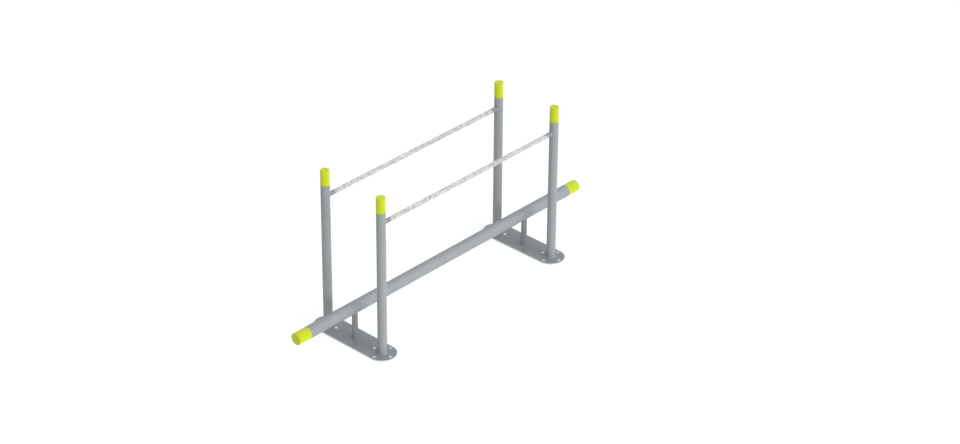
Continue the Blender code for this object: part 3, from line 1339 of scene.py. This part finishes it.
@dataclass(frozen=True)
class BeamLeg(AtPlate):
    """A short tube from a plate up to the beam, welded to both."""

    radius: float = 0.02415
    wall: float = 0.0032
    weld_leg: float = 0.003
    segments: int = 96
    rows: int = 8

    def pieces(self, finishes: Finishes) -> Iterator[Piece]:
        """The tube and its two welds.

        Args:
            finishes: The coats of the apparatus.

        Returns:
            The three pieces.
        """
        # Painted shade: the leg and its welds take the darker grey
        layout, coat = self.layout, finishes.small_tube_paint
        outer, inner = self.radius, self.radius - self.wall
        bottom, main = layout.plate_thickness + layout.gap, layout.beam_radius + layout.gap
        outer_top, inner_top = (
            layout.beam_height - cope(radius, main, self.segments) for radius in (outer, inner)
        )
        patches = [
            ring_wall((outer, bottom), (outer, outer_top), self.segments, self.rows),
            ring_wall((inner, bottom), (inner, inner_top), self.segments, self.rows),
            ring_wall((outer, bottom), (inner, bottom), self.segments),
            ring_wall((outer, outer_top), (inner, inner_top), self.segments),
        ]
        yield Piece.of(f"beam_leg_{self.side.word}", "tube", patches, coat, Place(self.spot(0)))
        foot = WeldBead(outer, leg=self.weld_leg).patch()
        yield Piece(f"leg_foot_weld_{self.side.word}", [foot], coat, Place(self.spot(bottom)))
        upside_down = Matrix(((1, 0, 0), (0, -1, 0), (0, 0, -1)))
        crown = Place(self.spot(layout.beam_height - layout.beam_radius), upside_down)
        saddle = WeldBead(outer, layout.beam_radius, leg=self.weld_leg).patch()
        yield Piece(f"leg_saddle_weld_{self.side.word}", [saddle], coat, crown)


@dataclass(frozen=True)
class Beam(Assembly):
    """The walking tube and the lime hoods in its two ends."""

    length: float = 3.040
    rounding: float = 0.0007
    cap_length: float = 0.125
    segments: int = 128

    def pieces(self, finishes: Finishes) -> Iterator[Piece]:
        """The tube, then its caps.

        Args:
            finishes: The coats of the apparatus.

        Returns:
            The three pieces.
        """
        height, outer, wall = self.layout.beam_height, self.layout.beam_radius, self.layout.beam_wall
        half, inner = self.length / 2, outer - wall
        ends = ((outer, -half), (inner, -half), (inner, half), (outer, half))
        profile = Profile.rounded([(*end, self.rounding) for end in ends], closed=True)
        tube, lying = profile.lathed(self.segments), Place((0, 0, height), along_x(1))
        yield Piece.of("beam_tube", "wall", [tube], finishes.paint, lying)
        cap = Cap(outer, wall, self.cap_length).patches()
        for side in Side:
            place = Place((side.value * half, 0, height), along_x(side.value))
            yield Piece.of(f"beam_cap_{side.word}", "hood", cap, finishes.lime, place)


@dataclass(frozen=True)
class RailSocket(AtPost):
    """A painted stub between post and rail, its spigot inside the rail, its weld and its grub screw."""

    bore: float = 0.013
    clearance: float = 0.0003
    rounding: float = 0.0008
    shoulder: float = 0.006
    nose: float = 0.002
    nose_rounding: float = 0.001
    bore_rounding: float = 0.0005
    rows: int = 8
    weld_leg: float = 0.003
    weld_bulge: float = 0.0005
    screw_radius: float = 0.003
    screw_length: float = 0.0056
    screw_recess: float = 0.0005
    screw_point: float = 0.0006
    screw_rim: float = 0.0004
    screw_segments: int = 48
    key_radius: float = 0.0017
    key_depth: float = 0.0028

    @property
    def screw_reach(self) -> float:
        """The distance from the post's axis to the screw."""
        return self.layout.socket_reach + self.layout.spigot_length / 2

    def stub(self) -> list[Patch]:
        """The collar and the spigot, along Z from the post's axis outwards.

        The collar's foot is cut to the post's curve. A bore runs through both, and a hole for the screw
        goes through one side of the spigot.

        Returns:
            The patches of one closed surface.
        """
        layout = self.layout
        collar, spigot = layout.rail_radius, layout.rail_radius - layout.rail_wall - self.clearance
        reach, tip = layout.socket_reach, layout.socket_reach + layout.spigot_length
        outer, inner = SleeveWall(spigot), SleeveWall(self.bore)
        segments, main = outer.segments, layout.post_radius + layout.gap
        collar_root, bore_root = ((radius, cope(radius, main, segments)) for radius in (collar, self.bore))
        shoulder = (
            (collar, reach - self.shoulder, 0),
            (collar, reach, self.rounding),
            (spigot, reach, 0),
        )
        nose = (
            (spigot, tip - self.nose, 0),
            (spigot, tip, self.nose_rounding),
            (self.bore, tip, self.bore_rounding),
            (self.bore, tip - self.nose, 0),
        )
        return [
            ring_wall(collar_root, bore_root, segments),
            ring_wall(collar_root, (collar, reach - self.shoulder), segments, self.rows),
            Profile.rounded(shoulder).lathed(segments),
            *outer.patches(reach, tip - self.nose, [self.screw_reach]),
            Profile.rounded(nose).lathed(segments),
            *inner.patches(reach, tip - self.nose, [self.screw_reach]),
            ring_wall(bore_root, (self.bore, reach), segments, self.rows),
            outer.hole_wall(inner, self.screw_reach),
        ]

    def screw(self) -> Patch:
        """The grub screw along Z.

        Returns:
            One closed surface, from the floor of the hexagonal key hole, which opens at height 0, to the
            middle of the point.
        """
        key = hexagon(self.key_radius * math.cos(math.pi / 6), self.screw_segments)
        radius, end = self.screw_radius, self.screw_length
        rings = (
            (0, self.key_depth),
            (key, self.key_depth),
            (key, 0),
            (radius - self.screw_rim, 0),
            (radius, self.screw_rim),
            (radius, end - self.screw_point),
            (radius - self.screw_point, end),
            (0, end),
        )
        return stacked(rings, self.screw_segments)

    def pieces(self, finishes: Finishes) -> Iterator[Piece]:
        """The stub, its weld on the post and its screw.

        Args:
            finishes: The coats of the apparatus.

        Returns:
            The three pieces.
        """
        # Painted shade: the socket and its weld take the darker grey
        layout, coat, inwards = self.layout, finishes.small_tube_paint, along_x(-self.side.value)
        place = Place(self.spot(layout.rail_height), inwards)
        yield Piece.of(f"rail_socket_{self.where}", "stub", self.stub(), coat, place)
        bead = WeldBead(layout.rail_radius, layout.post_radius, leg=self.weld_leg, bulge=self.weld_bulge)
        crown = Place(self.spot(layout.rail_height, layout.post_radius), inwards)
        yield Piece(f"socket_weld_{self.where}", [bead.patch()], coat, crown)
        head = self.spot(layout.rail_height - layout.rail_radius + self.screw_recess, self.screw_reach)
        yield Piece.of(f"rail_screw_{self.where}", "body", [self.screw()], finishes.zinc, Place(head))


@dataclass(frozen=True)
class Handrail(Assembly):
    """A bare galvanised tube between two sockets, drilled from below for its two screws."""

    row: Row
    rounding: float = 0.0007
    lip: float = 0.002

    def lips(self, end: float, sign: int) -> Patch:
        """One end of the tube, from its outer wall round to its inner wall.

        Args:
            end: The end's height.
            sign: 1 for the upper end, -1 for the lower.

        Returns:
            The end's surface.
        """
        outer, inner = self.layout.rail_radius, self.layout.rail_radius - self.layout.rail_wall
        back = end - sign * self.lip
        corners = (
            (outer, back, 0),
            (outer, end, self.rounding),
            (inner, end, self.rounding),
            (inner, back, 0),
        )
        return Profile.rounded(corners).lathed(SleeveWall.segments)

    def pieces(self, finishes: Finishes) -> Iterator[Piece]:
        """The rail.

        Args:
            finishes: The coats of the apparatus.

        Returns:
            One piece.
        """
        layout = self.layout
        half = layout.plate_spacing / 2 - layout.socket_reach - layout.gap
        hole = layout.plate_spacing / 2 - layout.socket_reach - layout.spigot_length / 2
        walls = SleeveWall(layout.rail_radius), SleeveWall(layout.rail_radius - layout.rail_wall)
        holes, plain_end = (-hole, hole), half - self.lip
        patches = [patch for wall in walls for patch in wall.patches(-plain_end, plain_end, holes)]
        patches += [self.lips(sign * half, sign) for sign in (-1, 1)]
        patches += [walls[0].hole_wall(walls[1], middle) for middle in holes]
        place = Place((0, self.row.value * layout.post_spacing / 2, layout.rail_height), along_x(1))
        yield Piece.of(f"handrail_{self.row.word}", "tube", patches, finishes.galvanised, place)


@dataclass(frozen=True)
class Anchors(AtPost):
    """The countersunk bolts round one post's foot, flush with the plate."""

    shank_radius: float = 0.006
    key_across_flats: float = 0.008
    key_depth: float = 0.0045
    key_mouth: float = 0.0049
    rim_ease: float = 0.0002
    foot_chamfer: float = 0.0008
    segments: int = 72

    def bolt(self) -> Patch:
        """The bolt along Z, with its flat top at height 0.

        A cone of 120 degrees opens the key hole's mouth, so the hexagonal wall starts lower the further
        it stands inside the mouth's circle. Round the flat top come an eased rim, a short land, a cone
        of 90 degrees and the shank.

        Returns:
            One closed surface, from the middle of the key hole's floor to the middle of the shank's foot.
        """
        key = hexagon(self.key_across_flats / 2, self.segments)
        head, land = self.layout.bolt_head_radius, self.layout.bolt_head_land
        foot = self.layout.gap - self.layout.plate_thickness
        rings = (
            (0, -self.key_depth),
            (key, -self.key_depth),
            (key, (key - self.key_mouth) * math.tan(math.pi / 6)),
            (self.key_mouth, 0),
            (head - self.rim_ease, 0),
            (head, -self.rim_ease),
            (head, -land),
            (self.shank_radius, self.shank_radius - head - land),
            (self.shank_radius, foot + self.foot_chamfer),
            (self.shank_radius - self.foot_chamfer, foot),
            (0, foot),
        )
        return stacked(rings, self.segments)

    def pieces(self, finishes: Finishes) -> Iterator[Piece]:
        """Each bolt.

        Args:
            finishes: The coats of the apparatus.

        Returns:
            One piece for each bolt.
        """
        bolt = self.bolt()
        for number, spot in enumerate(self.layout.bolt_spots(self.side, self.row), start=1):
            place = Place((*spot, self.layout.plate_thickness))
            yield Piece.of(f"anchor_bolt_{self.where}_{number}", "body", [bolt], finishes.zinc, place)


# Studio


@dataclass(frozen=True)
class Viewpoint:
    """The camera that took the picture, in degrees, metres and pixels."""

    azimuth: float = -47.3667
    elevation: float = 30.9529
    roll: float = 0.5238
    distance: float = 22.3813
    target: Point = (0.0802, -0.3446, 0.7590)
    focal_pixels: float = 2798.76
    picture_width: int = 960
    sensor: float = 36.0
    clip_end: float = 100.0

    def put_in(self) -> None:
        """Adds the camera.

        It stands at target + distance * back, with back = (sin a cos e, -cos a cos e, sin e), and its
        right and up turn by the roll.
        """
        a, e, r = (math.radians(value) for value in (self.azimuth, self.elevation, self.roll))
        back = Vector((math.sin(a) * math.cos(e), -math.cos(a) * math.cos(e), math.sin(e)))
        level = Vector((math.cos(a), math.sin(a), 0))
        upright = back.cross(level)
        right = level * math.cos(r) + upright * math.sin(r)
        up = upright * math.cos(r) - level * math.sin(r)
        lens = bpy.data.cameras.new("photo_camera")
        lens.sensor_fit = "HORIZONTAL"
        lens.sensor_width = self.sensor
        lens.lens = self.focal_pixels * self.sensor / self.picture_width
        lens.clip_end = self.clip_end
        turn = Matrix((right, up, back)).transposed().to_4x4()
        camera = linked("photo_camera", lens)
        camera.matrix_world = Matrix.Translation(Vector(self.target) + back * self.distance) @ turn
        bpy.context.scene.camera = camera


@dataclass(frozen=True)
class SoftLamp:
    """A broad, far lamp that lights the whole apparatus evenly from one side."""

    name: str
    toward: Point
    strength: float
    spread: float

    def put_in(self) -> None:
        """Adds the lamp. It is left out of reflections, which show the white room alone."""
        lamp = bpy.data.lights.new(self.name, "SUN")
        lamp.energy = self.strength
        lamp.angle = math.radians(self.spread)
        made = linked(self.name, lamp)
        made.rotation_euler = (-Vector(self.toward)).to_track_quat("-Z", "Y").to_euler()
        made.visible_glossy = False


@dataclass(frozen=True)
class Studio:
    """A white sweep with soft light from the front and the right."""

    floor_half: float = 30.0
    floor_tone: float = 0.80
    floor_lift: float = 0.49
    sky: float = 0.77
    sky_slopes: Point = (0.22, -0.34, -0.18)
    lamps: tuple[SoftLamp, ...] = (SoftLamp("front_lamp", (0.03, -0.94, 0.34), 1.12, 30.0),)

    @staticmethod
    def seen(nodes: Nodes) -> Socket:
        """A factor of 1 for rays from the camera, a mirror or glass, and 0 for the rays that light things.

        Args:
            nodes: The tree that needs the factor.

        Returns:
            The factor.
        """
        path = nodes.node("LightPath")
        factor = path.outputs["Is Camera Ray"]
        for name in ("Is Glossy Ray", "Is Transmission Ray"):
            factor = nodes.math("MAXIMUM", factor, path.outputs[name])
        return factor

    def dome(self) -> None:
        """White to the camera, and to all else a pale dome, brighter low down, in front and on the right.

        The light from a direction d is sky + slopes . d.
        """
        world = bpy.data.worlds.new("white_sweep")
        nodes = Nodes.emptied(world)
        direction = nodes.node("TexCoord").outputs["Generated"]
        lean = nodes.node("VectorMath", direction, self.sky_slopes, options={"operation": "DOT_PRODUCT"})
        light = nodes.math("ADD", lean.outputs["Value"], self.sky)
        lit, white = nodes.node("Background", WHITE, light), nodes.node("Background", WHITE)
        choice = nodes.node("MixShader", self.seen(nodes), lit.outputs[0], white.outputs[0])
        nodes.node("OutputWorld", choice.outputs[0])
        bpy.context.scene.world = world

    def floor(self) -> None:
        """A matt floor that takes the shadow and is lifted to white where it is seen."""
        material = bpy.data.materials.new("studio_floor")
        nodes = Nodes.emptied(material)
        matt = nodes.node("BsdfDiffuse", (self.floor_tone, self.floor_tone, self.floor_tone, 1))
        glow = nodes.node("Emission", Strength=nodes.math("MULTIPLY", self.seen(nodes), self.floor_lift))
        both = nodes.node("AddShader", matt.outputs[0], glow.outputs[0])
        nodes.node("OutputMaterial", both.outputs[0])
        half = self.floor_half
        corners = [(-half, -half, 0), (half, -half, 0), (half, half, 0), (-half, half, 0)]
        mesh = bpy.data.meshes.new("studio_floor")
        mesh.from_pydata(corners, [], [(0, 1, 2, 3)])
        mesh.materials.append(material)
        made = linked("studio_floor", mesh)

    def put_in(self) -> None:
        """Adds the sky, the floor and the lamps."""
        self.dome()
        self.floor()
        for lamp in self.lamps:
            lamp.put_in()
        bpy.context.scene.view_settings.view_transform = "Standard"


def assemblies() -> Iterator[Assembly]:
    """Every sub-assembly, from the ground up.

    Returns:
        The sub-assemblies in the order in which they are fitted.
    """
    for side in Side:
        yield BasePlate(side)
        yield BeamLeg(side)
        for row in Row:
            yield Anchors(side, row)
            yield Post(side, row)
            yield PostCap(side, row)
            yield RailSocket(side, row)
    yield Beam()
    for row in Row:
        yield Handrail(row)


def main() -> None:
    """Builds the studio and every piece."""
    logging.basicConfig(level=logging.INFO, format="%(name)s: %(message)s")
    Viewpoint().put_in()
    Studio().put_in()
    finishes = Finishes.made()
    for assembly in assemblies():
        for piece in assembly.pieces(finishes):
            made = piece.put_in()
            LOG.info("%s: %d faces", made.name, len(made.data.polygons))
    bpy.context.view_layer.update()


if __name__ == "__main__":
    main()
